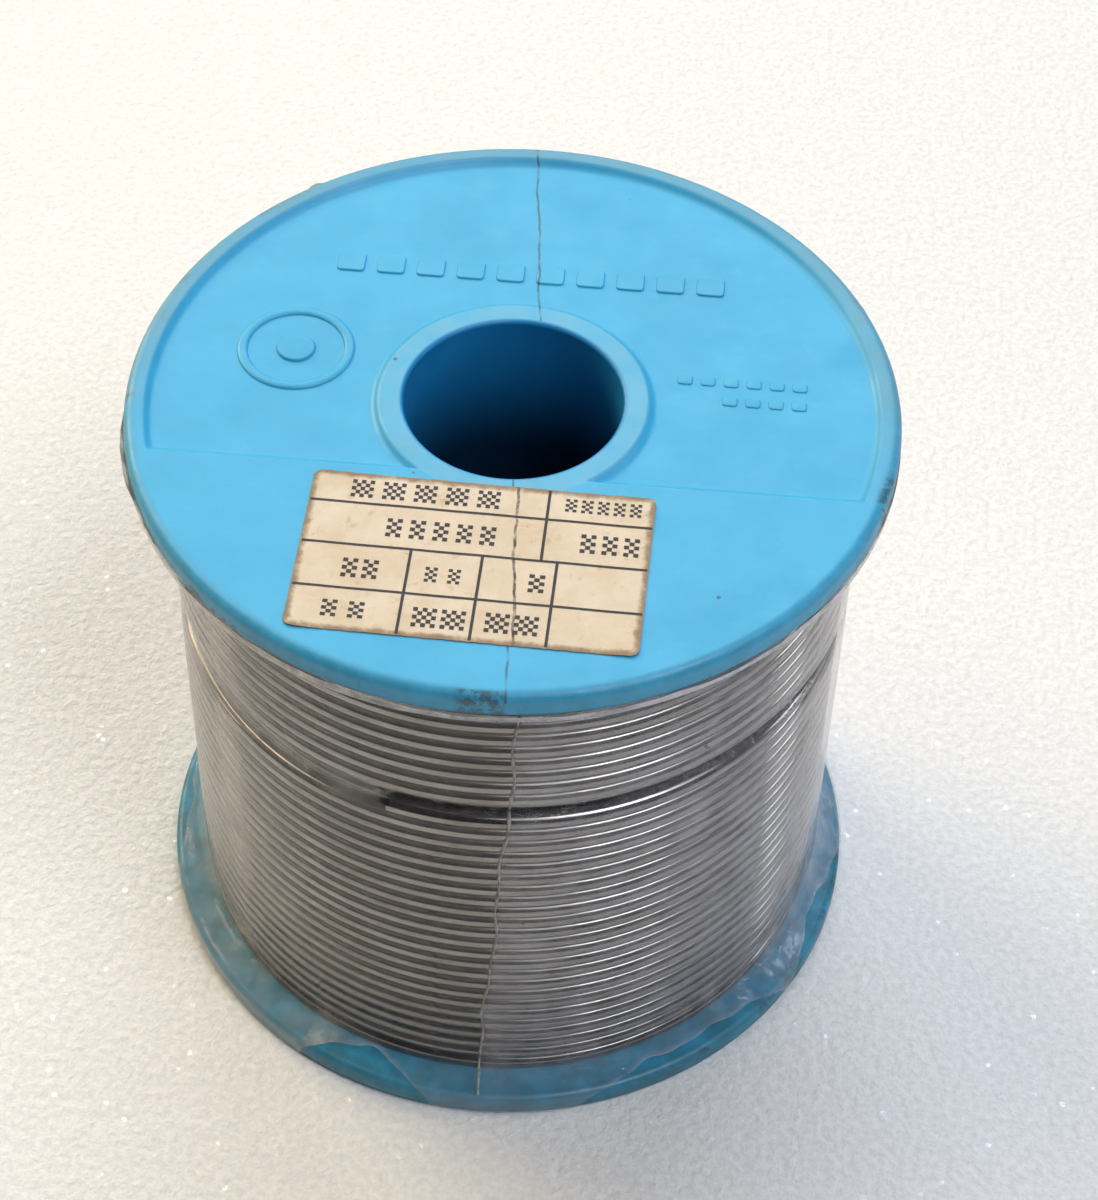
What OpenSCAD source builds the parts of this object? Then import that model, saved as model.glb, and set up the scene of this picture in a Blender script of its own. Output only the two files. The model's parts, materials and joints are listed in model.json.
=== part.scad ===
// Solder wire spool: a hollow plastic spool in two halves, thirteen layers of flux-cored
// solder wire, a paper label and a clear shrink film.
// Frame: millimetres, +Z up along the bore, origin at the centre of the bottom face.
// The label is on the -Y side of the top flange.

/* [Spool] */
// Diameter of both flanges
flange_d = 67; // [64:0.5:72]
// Overall height between the outer faces of the flanges
spool_h = 62; // [60:0.5:66]
// Thickness of each flange
flange_t = 2.6; // [2:0.1:3.2]
// Diameter of the bore through the hub
bore_d = 19; // [16:0.5:20]
// Wall thickness of the hub
hub_wall = 2.3; // [1.8:0.1:2.6]
// Width of the raised rim round each outer face
rim_w = 1.9; // [1.5:0.1:3]
// Depth of the D-shaped recess in each outer face
recess_depth = 0.6; // [0.3:0.1:1]
// Distance from the axis to the straight step of the recess
recess_step = 9.1; // [8.5:0.1:11]
// Radius of the flanges' outer edges
edge_round = 0.9; // [0.4:0.1:1]
// Size of the chamfer at the mouths of the bore
mouth_chamfer = 0.4; // [0.2:0.1:0.6]
// Length of the spigot that joins the halves inside the hub
spigot_len = 6; // [4:1:10]

/* [Solder wire] */
// Diameter of the solder wire
wire_d = 1.6; // [1.5:0.05:1.6]
// Height from one turn to the next
wire_pitch = 1.62; // [1.62:0.01:1.7]
// Radial distance from one layer to the next
layer_step = 1.4; // [1.4:0.01:1.45]
// Number of layers
layer_count = 13; // [9:2:13]
// Number of turns below the groove in the outermost layer
turns_below_groove = 23; // [15:1:28]
// Number of sides of the wire's section in the hidden layers, where it stands in for a circle
hidden_wire_sides = 8; // [6:2:12]
// Number of turns left out of the outermost layer to form the groove
turns_in_groove = 2; // [2:1:3]
// Diameter of the flux core inside the wire
core_d = 0.5; // [0.3:0.05:0.6]

/* [Label] */
// Width of the paper label
label_w = 28.8; // [20:0.2:29]
// Height of the paper label on the flange
label_h = 17.4; // [10:0.2:17.6]
// Thickness of the paper
label_t = 0.12; // [0.08:0.01:0.2]

/* [Shrink film] */
// Thickness of the film's solid
film_t = 0.14; // [0.1:0.01:0.2]
// Width of the heat-sealed seam bead
seam_w = 0.7; // [0.4:0.1:1]

/* [Hidden] */
$fn = 96;
flange_r = flange_d / 2;
bore_r = bore_d / 2;
hub_r = bore_r + hub_wall;
slip = 0.05;
joint_z = spool_h / 2;
spigot_r = bore_r + hub_wall / 2;
recess_r = flange_r - rim_w;
web_t = 0.3;
label_pos = [-1.5, -19.3];
label_turn = -1;
film_gap = 0.04;
// Height over which the film leans from a flange's rim to the winding, and how far the seam stands out
bridge_h = 6;
seam_proud = 0.3;

// First turn's height and radius, and the number of turns that fit between the flanges
first_z = flange_t + slip + wire_d / 2;
first_r = hub_r + slip + wire_d / 2;
turns_fit = floor((spool_h - 2 * (flange_t + slip) - wire_d) / wire_pitch) + 1;
winding_r = first_r + (layer_count - 1) * layer_step + wire_d / 2;
tail_r = winding_r - wire_d / 2;
tail_z = first_z + turns_below_groove * wire_pitch;

// The tail's cut end, and how far the tail runs round the groove from it, in degrees from +X
tail_start = -105;
tail_sweep = 195;

// Relief on the upper face: a plain ring, and a row of plain bars
ring_pos = [-19.6, 4.7];
ring_r = 5.1;
relief_h = 0.22;
bar_row_y = 16.3;
bar_count = 10;
bar_pitch = 3.6;

function two_digits(i) = str(i < 10 ? "0" : "", i);
function layer_name(i) = str("winding_layer_", two_digits(i));
function layer_r(i) = first_r + (i - 1) * layer_step;
function arc(c, r, a0, a1, n) = [for (i = [0 : n]) let (a = a0 + (a1 - a0) * i / n) c + r * [cos(a), sin(a)]];

// Half section of a flange whose outer face is at z = 0 and whose hub side is above it
module flange_section() {
    r = edge_round;
    polygon(concat(
        [[bore_r + mouth_chamfer, 0]],
        arc([flange_r - r, r], r, -90, 0, 6),
        arc([flange_r - r, flange_t - r], r, 0, 60, 4),
        [[flange_r - 2 * r, flange_t], [bore_r, flange_t], [bore_r, mouth_chamfer]]
    ));
}

// The C-shaped recess: a ring between the boss and the rim, behind the straight step
module recess() {
    reach = 2 * flange_r;
    difference() {
        translate([0, 0, -1]) cylinder(h = 1 + recess_depth, r = recess_r);
        translate([0, 0, -2]) cylinder(h = 4, r = hub_r);
        translate([-reach, -reach - recess_step, -2]) cube([2 * reach, reach, 4]);
    }
}

// One flange with its recess, outer face at z = 0
module flange() {
    difference() {
        rotate_extrude() flange_section();
        recess();
    }
}

module tube(z0, z1, r_in, r_out) {
    translate([0, 0, z0]) difference() {
        cylinder(h = z1 - z0, r = r_out);
        translate([0, 0, -1]) cylinder(h = z1 - z0 + 2, r = r_in);
    }
}

// Low plain marks in the recess of the upper face
module relief() {
    z0 = spool_h - recess_depth;
    translate([ring_pos[0], ring_pos[1], z0 - 0.1]) difference() {
        cylinder(h = relief_h + 0.1, r = ring_r);
        translate([0, 0, -1]) cylinder(h = 3, r = ring_r - 0.8);
    }
    for (i = [0 : bar_count - 1])
        translate([(i - (bar_count - 1) / 2) * bar_pitch - 1.2, bar_row_y - 0.35, z0 - 0.1])
            cube([2.4, 0.7, relief_h + 0.1]);
}

module upper_spool_half() {
    color("deepskyblue") union() {
        translate([0, 0, spool_h]) mirror([0, 0, 1]) flange();
        tube(joint_z, spool_h - flange_t, bore_r, hub_r);
        tube(joint_z - spigot_len + 2 * slip, joint_z, bore_r, spigot_r - slip);
        relief();
    }
}

module lower_spool_half() {
    color("steelblue") union() {
        flange();
        tube(flange_t, joint_z - spigot_len, bore_r, hub_r);
        tube(joint_z - spigot_len, joint_z, spigot_r, hub_r);
    }
}

// A stack of closed turns, held together by a thin web through their middles
module turn_stack(r, z0, count, sides = $fn) {
    rotate_extrude() {
        for (i = [0 : count - 1])
            translate([r, z0 + i * wire_pitch]) circle(d = wire_d, $fn = sides);
        translate([r - web_t / 2, z0]) square([web_t, max(web_t, (count - 1) * wire_pitch)]);
    }
}

// Odd layers start at the flange and even ones half a pitch up, so they nest
module winding_layer(i) {
    even = i % 2 == 0 ? 1 : 0;
    color("silver")
        turn_stack(layer_r(i), first_z + even * wire_pitch / 2, turns_fit - even, hidden_wire_sides);
}

module winding_layer_outer_lower() {
    color("silver") turn_stack(layer_r(layer_count), first_z, turns_below_groove);
}

module winding_layer_outer_upper() {
    first = turns_below_groove + turns_in_groove;
    color("silver") turn_stack(layer_r(layer_count), first_z + first * wire_pitch, turns_fit - first);
}

// Part of one turn with a round section, on the lower side of the groove
module groove_turn(d) {
    rotate([0, 0, tail_start])
        rotate_extrude(angle = tail_sweep) translate([tail_r, tail_z]) circle(d = d);
}

module wire_tail() {
    color("lightgray") difference() {
        groove_turn(wire_d);
        groove_turn(core_d);
    }
}

module flux_core() {
    color("goldenrod") groove_turn(core_d);
}

module paper_label() {
    color("wheat") translate([label_pos[0], label_pos[1], spool_h + slip / 5]) rotate([0, 0, label_turn])
        translate([-label_w / 2, -label_h / 2, 0]) cube([label_w, label_h, label_t]);
}

// Inner line of the film: down the rim, in to the winding, out over the lower flange
module shrink_film() {
    wrap_r = winding_r + film_gap;
    rim_r = flange_r + film_gap;
    top_z = spool_h - edge_round;
    under_rim = spool_h - flange_t;
    line = [
        [rim_r, top_z],
        [rim_r, under_rim - 0.2],
        [wrap_r, under_rim - bridge_h],
        [wrap_r, flange_t + bridge_h],
        [rim_r, flange_t + 0.4],
        [rim_r, edge_round]
    ];
    color("lightcyan", 0.4) rotate_extrude() polygon(concat(
        line,
        [for (i = [len(line) - 1 : -1 : 0]) line[i] + [film_t, 0]]
    ));
    color("lightcyan", 0.4)
        translate([-seam_w / 2, -wrap_r - film_t - seam_proud, flange_t + bridge_h + 1])
            cube([seam_w, seam_proud + film_t / 2, under_rim - flange_t - 2 * bridge_h - 2]);
}

upper_spool_half();
lower_spool_half();
for (i = [1 : layer_count - 1])
    winding_layer(i);
winding_layer_outer_lower();
winding_layer_outer_upper();
wire_tail();
flux_core();
paper_label();
shrink_film();
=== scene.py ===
"""Solder wire spool: the looks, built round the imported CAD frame.

Lengths in this script are millimetres, and add_mesh() turns them into metres.
The spool stands on the floor with its bore along +Z and its label on the -Y side.
"""
import json
import math
from types import SimpleNamespace

import bmesh
import bpy
import numpy as np
from mathutils import Matrix, Vector
from mathutils.geometry import delaunay_2d_cdt


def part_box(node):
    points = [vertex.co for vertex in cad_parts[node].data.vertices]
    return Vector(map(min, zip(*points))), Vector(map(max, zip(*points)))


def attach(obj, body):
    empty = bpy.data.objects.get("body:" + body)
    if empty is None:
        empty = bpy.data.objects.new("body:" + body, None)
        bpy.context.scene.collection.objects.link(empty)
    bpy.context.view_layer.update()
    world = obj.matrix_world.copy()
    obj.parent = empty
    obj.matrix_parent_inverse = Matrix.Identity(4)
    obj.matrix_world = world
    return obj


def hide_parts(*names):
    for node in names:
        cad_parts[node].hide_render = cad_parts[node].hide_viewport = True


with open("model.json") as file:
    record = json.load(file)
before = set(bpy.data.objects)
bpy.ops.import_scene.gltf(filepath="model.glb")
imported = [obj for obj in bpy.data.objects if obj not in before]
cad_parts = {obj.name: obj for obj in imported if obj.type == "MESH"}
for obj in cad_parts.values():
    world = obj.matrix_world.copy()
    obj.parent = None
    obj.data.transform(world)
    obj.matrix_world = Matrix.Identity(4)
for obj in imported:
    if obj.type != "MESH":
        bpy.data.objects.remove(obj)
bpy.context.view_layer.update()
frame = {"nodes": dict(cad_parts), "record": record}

MM = 0.001
TAU = 2 * math.pi


# ---------------------------------------------------------------- sizes from the frame

def span(node):
    """A CAD node's lowest and highest corner, in millimetres."""
    low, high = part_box(node)
    return np.array(low) / MM, np.array(high) / MM


# Play between the winding and the moulding, and the film's thickness, as part.scad has them
SLIP = 0.05
FILM_T = 0.14

FLANGE_R = span("lower_spool_half")[1][0]
SPOOL_H = span("upper_spool_half")[1][2]
BORE_R = next(m for m in frame["record"]["mounts"] if m["name"] == "bore")["dims"]["r_mm"]
WIRE_D = span("wire_tail")[1][2] - span("wire_tail")[0][2]
WIRE_R = WIRE_D / 2
PITCH = 2 * (span("winding_layer_02")[0][2] - span("winding_layer_01")[0][2])
HUB_R = span("winding_layer_01")[1][0] - WIRE_D - SLIP
LAYER_R = span("winding_layer_outer_lower")[1][0] - WIRE_R
LAYER_12_R = span("winding_layer_12")[1][0] - WIRE_R
FIRST_Z = span("winding_layer_outer_lower")[0][2] + WIRE_R
TAIL_Z = (span("wire_tail")[0][2] + span("wire_tail")[1][2]) / 2
WINDING_R = LAYER_R + WIRE_R
FLANGE_T = FIRST_Z - WIRE_R - SLIP
FILM_R = span("shrink_film")[1][0] - FILM_T
CORE_R = (span("flux_core")[1][2] - span("flux_core")[0][2]) / 2

# Shape details of the mouldings that the frame's boxes don't hold
EDGE_ROUND = 0.9
RIM_W = 1.9
RECESS_R = FLANGE_R - RIM_W
RECESS_DEPTH = 0.6
RECESS_STEP = 9.1
MOUTH_ROUND = 0.4
INNER_ROUND = 0.7
HUB_FILLET = 0.03
SPIGOT_L = 6.0
AROUND = 288


# ---------------------------------------------------------------- mesh helpers

def smoothstep(low, high, x):
    """0 at low and 1 at high, with a soft start and end. low may be the larger."""
    t = np.clip((np.asarray(x, float) - low) / (high - low), 0, 1)
    return t * t * (3 - 2 * t)


def ripple(x, seed, waves=((1, 1.0), (2, 0.6), (3, 0.5), (5, 0.3), (8, 0.2))):
    """A smooth closed wave of x in radians, about -1 to 1, the same for the same seed."""
    rng = np.random.default_rng(seed)
    total = np.zeros_like(np.asarray(x, float))
    for count, size in waves:
        total = total + size * np.sin(count * np.asarray(x, float) + rng.uniform(0, TAU))
    return total / sum(size for _, size in waves)


def add_mesh(name, verts, faces, material, replaces=(), sharp=40):
    """A piece from millimetre points. It rides on the spool's only body."""
    mesh = bpy.data.meshes.new(name)
    mesh.from_pydata((np.asarray(verts, float) * MM).tolist(), [], [tuple(f) for f in faces])
    mesh.validate()
    mesh.polygons.foreach_set("use_smooth", [True] * len(mesh.polygons))
    mesh.set_sharp_from_angle(angle=math.radians(sharp))
    mesh.materials.append(material)
    piece = bpy.data.objects.new(name, mesh)
    bpy.context.scene.collection.objects.link(piece)
    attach(piece, "root")
    if replaces:
        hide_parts(*replaces)
    return piece


WELD_TOLERANCE = 1e-4


class Shell:
    """Collects parts of one mesh and welds what touches."""

    def __init__(self):
        self.verts, self.faces = [], []

    def add(self, verts, faces):
        base = len(self.verts)
        self.verts.extend(map(tuple, verts))
        self.faces.extend(tuple(base + i for i in f) for f in faces)

    def welded(self):
        keys, index, verts = {}, [], []
        for v in self.verts:
            key = tuple(round(c / WELD_TOLERANCE) for c in v)
            if key not in keys:
                keys[key] = len(verts)
                verts.append(v)
            index.append(keys[key])
        faces = []
        for f in self.faces:
            g = [index[i] for i in f]
            g = [v for i, v in enumerate(g) if v != g[i - 1]]
            if len(set(g)) >= 3:
                faces.append(tuple(g))
        return np.array(verts), faces


def revolve(profile, count, closed=False):
    """Points and quads of a profile of (r, z) points turned about Z."""
    profile = np.asarray(profile, float)
    a = np.arange(count) * TAU / count
    verts = np.stack([
        np.outer(np.cos(a), profile[:, 0]),
        np.outer(np.sin(a), profile[:, 0]),
        np.tile(profile[:, 1], (count, 1)),
    ], axis=-1).reshape(-1, 3)
    return verts, turned_faces(count, len(profile), closed)


def turned_faces(count, n, closed=False):
    """Quads between count profiles of n points that stand in a circle."""
    faces = []
    for i in range(count):
        here, there = i * n, ((i + 1) % count) * n
        for j in range(n if closed else n - 1):
            k = (j + 1) % n
            faces.append((here + j, there + j, there + k, here + k))
    return faces


def ring_faces(count, n):
    """Quads between each of count stacked rings of n points and the next."""
    return [(s * n + i, s * n + (i + 1) % n, (s + 1) * n + (i + 1) % n, (s + 1) * n + i)
            for s in range(count - 1) for i in range(n)]


def arc(center, radius, start, end, steps):
    """Points of a round stretch, its angles in degrees."""
    a = np.radians(np.linspace(start, end, steps + 1))
    return [(center[0] + radius * math.cos(t), center[1] + radius * math.sin(t)) for t in a]


def tube(path, outward, radius, sides, hole=0.0):
    """A round wire along a path. hole is the radius of the channel left open along its middle."""
    tangent = np.gradient(path, axis=0)
    tangent /= np.linalg.norm(tangent, axis=1)[:, None]
    side = np.cross(tangent, outward)
    side /= np.linalg.norm(side, axis=1)[:, None]
    out = np.cross(side, tangent)
    a = np.arange(sides) * TAU / sides
    radius = np.broadcast_to(np.asarray(radius, float), (len(path),))
    ring = out[:, None, :] * np.cos(a)[None, :, None] + side[:, None, :] * np.sin(a)[None, :, None]
    verts = (path[:, None, :] + radius[:, None, None] * ring).reshape(-1, 3)
    n = len(path)
    i, j = np.meshgrid(np.arange(n - 1), np.arange(sides), indexing="ij")
    k = (j + 1) % sides
    faces = np.stack([i * sides + j, i * sides + k, (i + 1) * sides + k, (i + 1) * sides + j], -1)
    faces = [tuple(f) for f in faces.reshape(-1, 4)]
    if not hole:
        faces.append(tuple(range(sides)))
        faces.append(tuple(reversed(range((n - 1) * sides, n * sides))))
        return verts, faces
    base, last = len(verts), (n - 1) * sides
    channel = (path[:, None, :] + hole * ring).reshape(-1, 3)
    faces += [tuple(base + v for v in reversed(f)) for f in faces]
    for j in range(sides):
        k = (j + 1) % sides
        faces.append((j, base + j, base + k, k))
        faces.append((last + j, last + k, base + last + k, base + last + j))
    return np.vstack([verts, channel]), faces


# ---------------------------------------------------------------- material helpers

class Graph:
    """A small wrapper for building one procedural material."""

    def __init__(self, name):
        self.material = bpy.data.materials.new(name)
        self.material.use_nodes = True
        self.tree = self.material.node_tree
        self.tree.nodes.clear()
        self.coords = self.new("ShaderNodeTexCoord").outputs["Object"]

    def new(self, kind, **settings):
        node = self.tree.nodes.new(kind)
        for key, value in settings.items():
            setattr(node, key, value)
        return node

    def put(self, socket, value):
        if isinstance(value, bpy.types.NodeSocket):
            self.tree.links.new(value, socket)
        elif value is not None:
            if isinstance(value, (tuple, list)) and len(value) == 3 and socket.type == "RGBA":
                value = (*value, 1)
            socket.default_value = value

    def math(self, operation, a, b=None, c=None, clamp=False):
        node = self.new("ShaderNodeMath", operation=operation, use_clamp=clamp)
        for socket, value in zip(node.inputs, (a, b, c)):
            self.put(socket, value)
        return node.outputs[0]

    def times(self, *factors):
        """The product of two or more values."""
        product = factors[0]
        for factor in factors[1:]:
            product = self.math("MULTIPLY", product, factor)
        return product

    def mix(self, factor, a, b):
        node = self.new("ShaderNodeMix", data_type="RGBA", blend_type="MIX")
        self.put(node.inputs["Factor"], factor)
        self.put(node.inputs[6], a)
        self.put(node.inputs[7], b)
        return node.outputs[2]

    def scaled(self, scale, coords=None):
        node = self.new("ShaderNodeMapping")
        self.put(node.inputs["Vector"], coords or self.coords)
        node.inputs["Scale"].default_value = scale
        return node.outputs[0]

    def noise(self, size_mm, detail=4, rough=0.55, stretch=(1, 1, 1), coords=None, distortion=0.0):
        """Noise of a given feature size. stretch makes it longer along an axis."""
        node = self.new("ShaderNodeTexNoise")
        scale = tuple(1 / (size_mm * MM * s) for s in stretch)
        self.put(node.inputs["Vector"], self.scaled(scale, coords))
        node.inputs["Scale"].default_value = 1
        node.inputs["Detail"].default_value = detail
        node.inputs["Roughness"].default_value = rough
        node.inputs["Distortion"].default_value = distortion
        return node.outputs["Fac"]

    def spots(self, size_mm):
        """Distance to the nearest of many scattered points, in units of their spacing."""
        node = self.new("ShaderNodeTexVoronoi", feature="F1")
        self.put(node.inputs["Vector"], self.scaled((1 / (size_mm * MM),) * 3))
        node.inputs["Scale"].default_value = 1
        node.inputs["Randomness"].default_value = 1
        return node.outputs["Distance"]

    def ramp(self, value, low, high, out_low=0.0, out_high=1.0):
        node = self.new("ShaderNodeMapRange", interpolation_type="SMOOTHSTEP")
        self.put(node.inputs["Value"], value)
        for key, number in zip(("From Min", "From Max", "To Min", "To Max"), (low, high, out_low, out_high)):
            node.inputs[key].default_value = number
        return node.outputs["Result"]

    def xyz(self):
        node = self.new("ShaderNodeSeparateXYZ")
        self.put(node.inputs[0], self.coords)
        return node.outputs

    def radius(self):
        """Distance from the bore's axis, in metres."""
        x, y, _ = self.xyz()
        return self.math("SQRT", self.math("ADD", self.times(x, x), self.times(y, y)))

    def attribute(self, name):
        return self.new("ShaderNodeAttribute", attribute_name=name).outputs["Fac"]

    def bump(self, height, distance_mm, strength):
        node = self.new("ShaderNodeBump")
        node.inputs["Strength"].default_value = strength
        node.inputs["Distance"].default_value = distance_mm * MM
        self.put(node.inputs["Height"], height)
        return node.outputs[0]

    def principled(self, color, roughness, normal, **sockets):
        node = self.new("ShaderNodeBsdfPrincipled")
        self.put(node.inputs["Base Color"], color)
        self.put(node.inputs["Roughness"], roughness)
        self.put(node.inputs["Normal"], normal)
        for key, value in sockets.items():
            self.put(node.inputs[key.replace("_", " ")], value)
        return node.outputs[0]

    def finish(self, shader):
        out = self.new("ShaderNodeOutputMaterial")
        self.tree.links.new(shader, out.inputs["Surface"])
        return self.material


# ---------------------------------------------------------------- materials

def line_mask(g, x, y, offset, slope, side, half_width_mm, wobble_mm):
    """1 along a thin, nearly radial line x = offset + slope * y on one side of the bore."""
    wander = g.times(g.math("SUBTRACT", g.noise(3.0, 3), 0.5), wobble_mm * MM)
    gap = g.math("SUBTRACT", g.math("ADD", x, wander), g.math("MULTIPLY_ADD", y, slope, offset * MM))
    near = g.ramp(g.math("ABSOLUTE", gap), half_width_mm * MM, 2.2 * half_width_mm * MM, 1.0, 0.0)
    half = g.ramp(g.times(y, float(side)), (BORE_R + 0.1) * MM, (BORE_R + 0.4) * MM)
    return g.times(near, half)


def make_plastic(clean, shade, rim_dirt):
    g = Graph("blue_plastic")
    x, y, z = g.xyz()
    radius = g.radius()
    mottle = g.noise(9.0, 5, 0.6)
    blotch = g.noise(2.4, 4, 0.6)
    base = g.mix(g.ramp(mottle, 0.35, 0.7), clean, shade)
    pale = g.mix(g.times(g.ramp(blotch, 0.55, 0.75), 0.2), base, (0.10, 0.46, 0.66))
    # grime gathers on the flange's side and the last millimetre of its face
    on_side = g.ramp(radius, (FLANGE_R - 1.3) * MM, (FLANGE_R - 0.25) * MM)
    worn = g.times(on_side, g.ramp(g.noise(1.6, 6, 0.7), 0.32, 0.62, 0.35, 1.0))
    edged = g.mix(g.times(worn, rim_dirt), pale, (0.040, 0.225, 0.330))
    crust_shape = g.times(g.noise(1.1, 8, 0.75), g.ramp(g.noise(11.0, 2), 0.42, 0.62))
    crust = g.times(on_side, g.ramp(crust_shape, 0.44, 0.52))
    beside = g.math("ABSOLUTE", g.math("SUBTRACT", x, 0.55 * MM))
    crust = g.times(crust, g.ramp(beside, 14 * MM, 20 * MM, 0.1, 1.0))
    # and one smudge of it sits on the rim in front of the label
    smudge = g.times(g.ramp(beside, 1.5 * MM, 2.4 * MM, 1.0, 0.0),
                    g.ramp(y, (0.5 - FLANGE_R) * MM, (0.9 - FLANGE_R) * MM, 1.0, 0.0))
    smudge = g.times(smudge, g.ramp(z, (SPOOL_H - 2.4) * MM, (SPOOL_H - 2.0) * MM))
    smudge = g.times(smudge, g.ramp(g.noise(0.9, 6, 0.7), 0.40, 0.58))
    soil = g.times(g.math("MAXIMUM", crust, smudge), 0.75)
    soiled = g.mix(soil, edged, (0.045, 0.06, 0.045))
    # the lower flange is painted darker, in blotches
    low_down = g.ramp(z, (FLANGE_T + 0.2) * MM, (FLANGE_T + 1.4) * MM, 1.0, 0.0)
    underfoot = g.times(low_down, g.ramp(blotch, 0.3, 0.65, 0.4, 0.75))
    soiled = g.mix(underfoot, soiled, (0.022, 0.125, 0.175))
    # the raised rim and the boss are worn paler than the face between them
    top = g.ramp(z, (SPOOL_H - 0.8) * MM, (SPOOL_H - 0.7) * MM)
    on_rim = g.ramp(radius, (FLANGE_R - RIM_W - 0.1) * MM, (FLANGE_R - RIM_W + 0.4) * MM)
    at_back = g.times(g.ramp(y, -12 * MM, 8 * MM), top)
    rim_wear = g.times(on_rim, at_back, g.ramp(blotch, 0.3, 0.6, 0.45, 0.75))
    soiled = g.mix(rim_wear, soiled, (0.125, 0.31, 0.40))
    on_boss = g.ramp(radius, (HUB_R - 0.2) * MM, (HUB_R + 0.05) * MM, 1.0, 0.0)
    boss_wear = g.times(on_boss, g.ramp(blotch, 0.3, 0.6, 0.25, 0.55))
    soiled = g.mix(boss_wear, soiled, (0.15, 0.42, 0.56))
    # scattered dark specks and the print left by the film's seam
    specks = g.ramp(g.spots(4.2), 0.035, 0.06, 1.0, 0.0)
    thin = g.ramp(g.noise(6.0, 2), 0.5, 0.6)
    specked = g.mix(g.times(specks, thin, 0.75), soiled, (0.02, 0.05, 0.06))
    back = line_mask(g, x, y, 2.35, -0.098, 1, 0.06, 0.6)
    front = line_mask(g, x, y, 0.19, -0.072, -1, 0.06, 0.6)
    line = g.times(g.math("MAXIMUM", back, front), top)
    line = g.times(line, g.ramp(g.noise(2.2, 3), 0.36, 0.55, 0.25, 0.85))
    lined = g.mix(line, specked, (0.035, 0.10, 0.14))
    # the bore's walls are painted a deeper blue, and painted shade darkens them further down
    in_bore = g.ramp(radius, (BORE_R + 0.1) * MM, (BORE_R + 0.5) * MM, 1.0, 0.0)
    walls = g.mix(g.times(in_bore, 0.85), lined, (0.0, 0.30, 0.72))
    depth = g.times(in_bore, g.ramp(z, (SPOOL_H - 16) * MM, (SPOOL_H - 1) * MM, 0.98, 0.30))
    color = g.mix(depth, walls, (0.0005, 0.012, 0.035))
    rough = g.ramp(g.noise(3.0, 5, 0.6), 0.3, 0.7, 0.38, 0.52)
    scratch = g.noise(0.5, 4, 0.6, stretch=(9, 1, 1), distortion=0.6)
    peel = g.math("MULTIPLY_ADD", g.noise(1.8, 3), 0.8, g.times(scratch, 0.25))
    shader = g.principled(color, rough, g.bump(peel, 0.10, 0.35), IOR=1.49,
                          Subsurface_Weight=0.12, Subsurface_Scale=0.0012,
                          Subsurface_Radius=(0.4, 0.8, 1.0))
    return g.finish(shader)


def make_solder(base, dull):
    g = Graph("solder")
    x, y, z = g.xyz()
    along = g.math("ARCTAN2", y, x)
    # the wire's finish changes slowly along each turn and quickly from turn to turn
    wrap = g.new("ShaderNodeCombineXYZ")
    g.put(wrap.inputs[0], g.times(along, 0.030))
    g.put(wrap.inputs[1], g.radius())
    g.put(wrap.inputs[2], z)
    coords = wrap.outputs[0]
    turn_tone = g.noise(1.5, 2, 0.5, stretch=(9, 1, 1), coords=coords)
    tarnish = g.noise(5.0, 6, 0.65, stretch=(1.6, 1, 1), coords=coords)
    grime = g.noise(1.0, 6, 0.75, stretch=(3, 1, 0.8), coords=coords)
    color = g.mix(g.ramp(tarnish, 0.35, 0.7), base, dull)
    color = g.mix(g.times(g.ramp(turn_tone, 0.4, 0.7), 0.35), color, (0.17, 0.155, 0.14))
    color = g.mix(g.times(g.ramp(grime, 0.6, 0.75), 0.5), color, (0.12, 0.09, 0.055))
    # painted shade: the lower turns are darkened towards the bottom flange, standing in for the shaded floor
    # and flange they mirror
    low_down = g.ramp(z, (FLANGE_T + 1) * MM, (FLANGE_T + 22) * MM, 0.60, 0.0)
    color = g.mix(low_down, color, (0.10, 0.095, 0.09))
    rough = g.ramp(g.noise(2.5, 5, 0.6, stretch=(6, 1, 1), coords=coords), 0.3, 0.7, 0.08, 0.20)
    dents = g.noise(0.9, 4, 0.6, stretch=(4, 1, 1), coords=coords)
    shader = g.principled(color, rough, g.bump(dents, 0.03, 0.4), Metallic=0.97)
    return g.finish(shader)


def make_flux():
    g = Graph("flux_resin")
    tone = g.noise(0.4, 3)
    color = g.mix(tone, (0.42, 0.20, 0.04), (0.62, 0.38, 0.12))
    return g.finish(g.principled(color, g.ramp(tone, 0.3, 0.7, 0.2, 0.35), g.bump(tone, 0.03, 0.4)))


def make_paper():
    g = Graph("label_paper")
    x, y, _ = g.xyz()
    edge = g.attribute("edge_near")
    fibre = g.noise(0.5, 6, 0.7, stretch=(2.2, 1, 1))
    stain = g.noise(4.5, 6, 0.65)
    blot = g.noise(1.3, 6, 0.7)
    color = g.mix(g.ramp(stain, 0.3, 0.72), (0.68, 0.585, 0.445), (0.59, 0.475, 0.325))
    color = g.mix(g.times(g.ramp(fibre, 0.5, 0.8), 0.25), color, (0.74, 0.68, 0.56))
    brown = g.times(g.ramp(blot, 0.56, 0.72), 0.45)
    color = g.mix(brown, color, (0.36, 0.24, 0.12))
    ragged = g.math("MULTIPLY_ADD", g.math("SUBTRACT", blot, 0.5), 1.1, edge)
    color = g.mix(g.ramp(ragged, 0.45, 1.0, 0.0, 0.85), color, (0.20, 0.125, 0.06))
    crease = line_mask(g, x, y, 0.55, -0.075, -1, 0.07, 0.9)
    wear = g.ramp(g.noise(1.2, 4, 0.7), 0.35, 0.6, 0.35, 0.95)
    color = g.mix(g.times(crease, wear), color, (0.05, 0.045, 0.04))
    rough = g.ramp(g.noise(2.0, 4), 0.3, 0.7, 0.62, 0.82)
    height = g.math("SUBTRACT", g.math("MULTIPLY_ADD", fibre, 0.5, g.times(blot, 0.5)), crease)
    return g.finish(g.principled(color, rough, g.bump(height, 0.06, 0.6)))


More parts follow.
